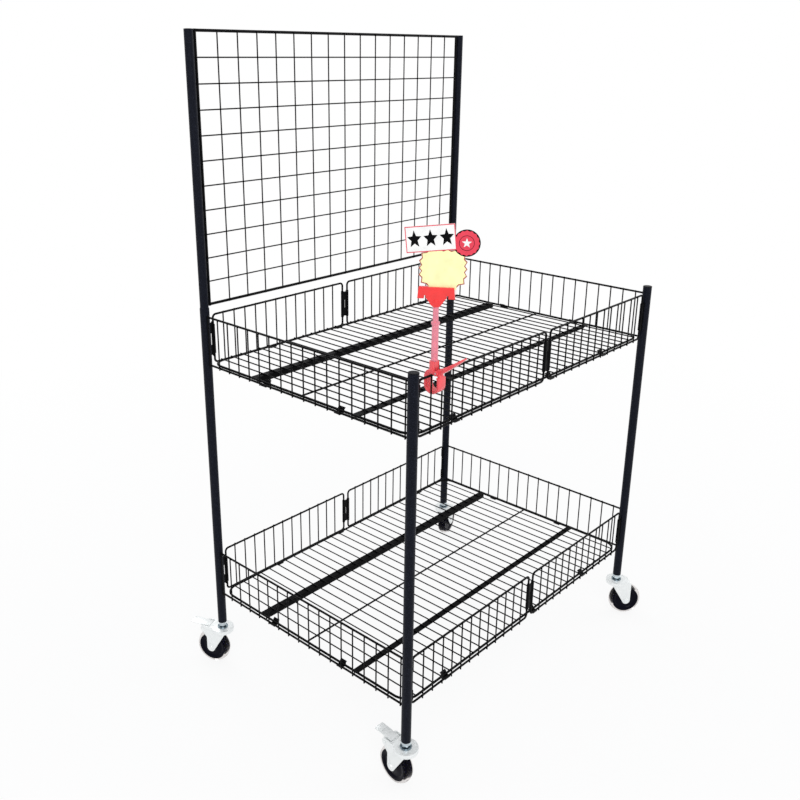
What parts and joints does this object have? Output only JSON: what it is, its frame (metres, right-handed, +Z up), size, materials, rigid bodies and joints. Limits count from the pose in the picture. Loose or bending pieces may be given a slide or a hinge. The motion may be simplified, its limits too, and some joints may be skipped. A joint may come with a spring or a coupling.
{
  "type": "promotional display trolley",
  "caption": "Folding two-tier wire basket trolley on swivel castors, with tube posts, lift-out wire shelves, a tall wire grid header and a clip-on price sign.",
  "frame": {"origin": "on the floor, under the middle of the whole trolley's plan outline, castors and clip lever included", "axes": "+X to the right as seen from the front, +Y to the back where the tall grid header stands, +Z up"},
  "size_m": [0.9367, 0.7234, 1.43],
  "materials": {
    "frame_paint": "finely speckled charcoal powder coat, low sheen",
    "wire_paint": "satin black powder coat",
    "bare_steel": "bare tube steel, hidden inside the posts",
    "cap_plastic": "moulded black plastic",
    "zinc": "bright zinc plate on pressed steel",
    "wheel_core": "glossy black moulded wheel core",
    "clear_tyre": "milky clear soft tread ring",
    "clip_plastic": "translucent red moulded plastic",
    "sign_card": "printed card, pale yellow burst under a white banner"
  },
  "bodies": {
    "frame": {"front_left_post": "frame_paint", "front_right_post": "frame_paint", "rear_left_post": "frame_paint", "rear_right_post": "frame_paint", "rear_left_extension": "frame_paint", "rear_right_extension": "frame_paint", "extension_spigots": "bare_steel", "post_caps": "cap_plastic", "stem_sockets": "cap_plastic", "back_grid": "wire_paint", "lower_left_end_fence": "wire_paint", "lower_right_end_fence": "wire_paint", "lower_front_left_fence": "wire_paint", "lower_front_right_fence": "wire_paint", "lower_rear_left_fence": "wire_paint", "lower_rear_right_fence": "wire_paint", "lower_hinges": "wire_paint", "lower_shelf_cradles": "wire_paint", "upper_left_end_fence": "wire_paint", "upper_right_end_fence": "wire_paint", "upper_front_left_fence": "wire_paint", "upper_front_right_fence": "wire_paint", "upper_rear_left_fence": "wire_paint", "upper_rear_right_fence": "wire_paint", "upper_hinges": "wire_paint", "upper_shelf_cradles": "wire_paint", "castor_stems": "zinc", "stem_nuts": "zinc", "castor_bearings": "zinc", "sign_clamp_jaw": "clip_plastic", "sign_clamp_pin": "zinc"},
    "lower_shelf_body": {"lower_shelf": "wire_paint", "lower_shelf_stiffeners": "wire_paint"},
    "upper_shelf_body": {"upper_shelf": "wire_paint", "upper_shelf_stiffeners": "wire_paint"},
    "front_left_castor": {"front_left_fork": "zinc", "front_left_axle": "zinc"},
    "front_left_wheel": {"front_left_hub": "wheel_core", "front_left_tyre": "clear_tyre"},
    "front_left_brake": {"front_left_brake_pedal": "zinc"},
    "front_right_castor": {"front_right_fork": "zinc", "front_right_axle": "zinc"},
    "front_right_wheel": {"front_right_hub": "wheel_core", "front_right_tyre": "clear_tyre"},
    "rear_left_castor": {"rear_left_fork": "zinc", "rear_left_axle": "zinc"},
    "rear_left_wheel": {"rear_left_hub": "wheel_core", "rear_left_tyre": "clear_tyre"},
    "rear_left_brake": {"rear_left_brake_pedal": "zinc"},
    "rear_right_castor": {"rear_right_fork": "zinc", "rear_right_axle": "zinc"},
    "rear_right_wheel": {"rear_right_hub": "wheel_core", "rear_right_tyre": "clear_tyre"},
    "clip_lever": {"sign_clamp_lever": "clip_plastic"},
    "sign": {"sign_stem": "clip_plastic", "sign_card_holder": "clip_plastic", "sign_card": "sign_card"}
  },
  "joints": [
    {"name": "lower_shelf_lift", "type": "slide", "parent": "frame", "child": "lower_shelf_body", "axis": [0, 0, 1], "range_m": [0, 0.13]},
    {"name": "upper_shelf_lift", "type": "slide", "parent": "frame", "child": "upper_shelf_body", "axis": [0, 0, 1], "range_m": [0, 0.06]},
    {"name": "front_left_swivel", "type": "hinge", "parent": "frame", "child": "front_left_castor", "pos_m": [-0.42985, -0.29671, 0.0981], "axis": [0, 0, 1], "continuous": true},
    {"name": "front_left_wheel_spin", "type": "hinge", "parent": "front_left_castor", "child": "front_left_wheel", "pos_m": [-0.42713, -0.27086, 0.041], "axis": [-0.9945, 0.1045, 0], "continuous": true},
    {"name": "front_left_brake_press", "type": "hinge", "parent": "front_left_castor", "child": "front_left_brake", "pos_m": [-0.42525, -0.25295, 0.0896], "axis": [-0.9945, 0.1045, 0], "range_deg": [0, 10]},
    {"name": "front_right_swivel", "type": "hinge", "parent": "frame", "child": "front_right_castor", "pos_m": [0.40215, -0.29671, 0.0981], "axis": [0, 0, 1], "continuous": true},
    {"name": "front_right_wheel_spin", "type": "hinge", "parent": "front_right_castor", "child": "front_right_wheel", "pos_m": [0.42147, -0.31411, 0.041], "axis": [0.6691, 0.7431, 0], "continuous": true},
    {"name": "rear_left_swivel", "type": "hinge", "parent": "frame", "child": "rear_left_castor", "pos_m": [-0.42985, 0.28129, 0.0981], "axis": [0, 0, 1], "continuous": true},
    {"name": "rear_left_wheel_spin", "type": "hinge", "parent": "rear_left_castor", "child": "rear_left_wheel", "pos_m": [-0.43917, 0.30556, 0.041], "axis": [-0.9336, -0.3584, 0], "continuous": true},
    {"name": "rear_left_brake_press", "type": "hinge", "parent": "rear_left_castor", "child": "rear_left_brake", "pos_m": [-0.44562, 0.32237, 0.0896], "axis": [-0.9336, -0.3584, 0], "range_deg": [0, 10]},
    {"name": "rear_right_swivel", "type": "hinge", "parent": "frame", "child": "rear_right_castor", "pos_m": [0.40215, 0.28129, 0.0981], "axis": [0, 0, 1], "continuous": true},
    {"name": "rear_right_wheel_spin", "type": "hinge", "parent": "rear_right_castor", "child": "rear_right_wheel", "pos_m": [0.42726, 0.28802, 0.041], "axis": [-0.2588, 0.9659, 0], "continuous": true},
    {"name": "clip_lever_pinch", "type": "hinge", "parent": "frame", "child": "clip_lever", "pos_m": [-0.37285, -0.30496, 0.86755], "axis": [-1, 0, 0], "range_deg": [0, 25], "stiffness_Nm_per_rad": 0.4, "springref_deg": -20.05},
    {"name": "sign_turn", "type": "hinge", "parent": "frame", "child": "sign", "pos_m": [-0.37285, -0.29471, 0.88695], "axis": [0, 0, 1], "continuous": true}
  ]
}
